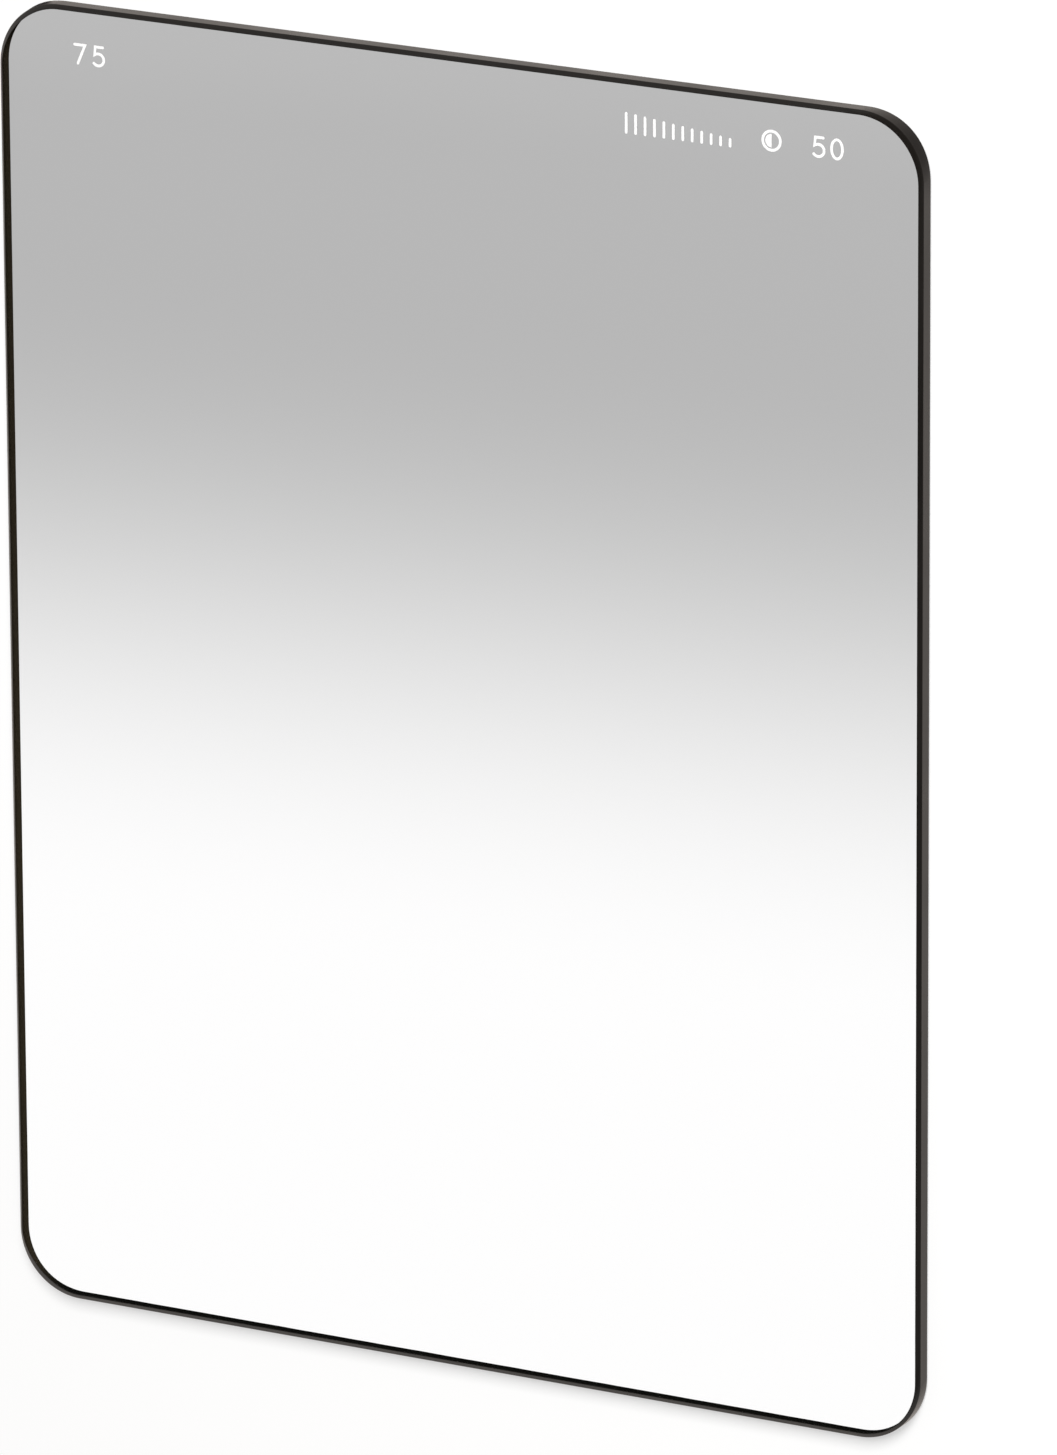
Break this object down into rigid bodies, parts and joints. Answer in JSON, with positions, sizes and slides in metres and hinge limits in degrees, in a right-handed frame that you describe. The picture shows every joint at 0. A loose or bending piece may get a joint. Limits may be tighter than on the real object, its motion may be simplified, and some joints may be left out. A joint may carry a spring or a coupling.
{
  "type": "square graduated neutral density filter",
  "caption": "Rectangular plate of optical glass with rounded corners and chamfered edges, grey at one end and fading to clear.",
  "frame": {"origin": "middle of the back face, on the surface that the plate lies on", "axes": "+Z out of the front face, +Y along the graduation towards the grey end, +X to the right seen from the front"},
  "size_m": [0.075, 0.1, 0.0016],
  "materials": {
    "coated_glass": "polished both faces, with a neutral grey coating that fades out past the middle",
    "edge_paint": "satin warm black paint on the ground edges and chamfers",
    "white_print": "flat white ink on the front face"
  },
  "bodies": {
    "root": {"glass_plate": "coated_glass"}
  },
  "joints": []
}
